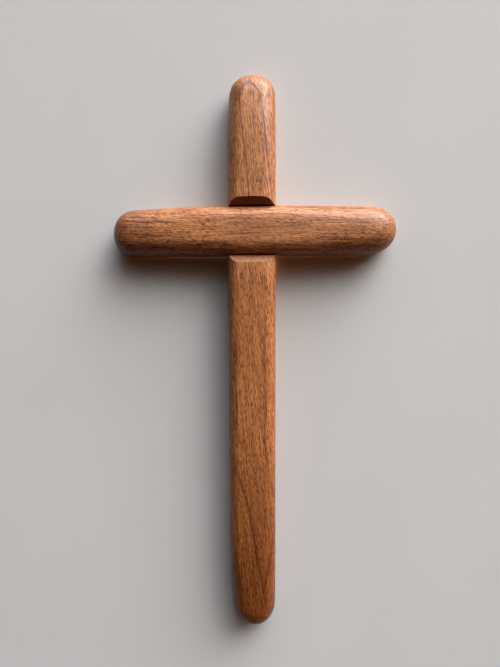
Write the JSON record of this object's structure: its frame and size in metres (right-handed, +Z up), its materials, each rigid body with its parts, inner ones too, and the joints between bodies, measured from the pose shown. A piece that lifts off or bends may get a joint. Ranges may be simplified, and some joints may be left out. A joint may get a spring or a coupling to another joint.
{
  "type": "wall cross",
  "caption": "Plain hardwood wall cross of two rounded bars in a flush cross lap with chamfered shoulders, hung on a keyhole plate let into its back.",
  "frame": {"origin": "the hanging point on the back plane: the axis of the wall screw at the top of the keyhole plate's slot", "axes": "+Z up along the staff, +X to the right as seen from the front, +Y out of the back into the wall, so the front faces -Y"},
  "size_m": [0.151, 0.018, 0.3],
  "materials": {
    "beech_staff": "oiled, hand sanded",
    "beech_crossbar": "oiled, hand sanded",
    "beech_dowel": "bare, glued in",
    "plate_steel": "zinc plated, stamped",
    "screw_steel": "yellow passivated"
  },
  "bodies": {
    "root": {"staff": "beech_staff", "crossbar": "beech_crossbar", "lap_dowel": "beech_dowel", "hanger_plate": "plate_steel", "hanger_screw_upper": "screw_steel", "hanger_screw_lower": "screw_steel"}
  },
  "joints": []
}
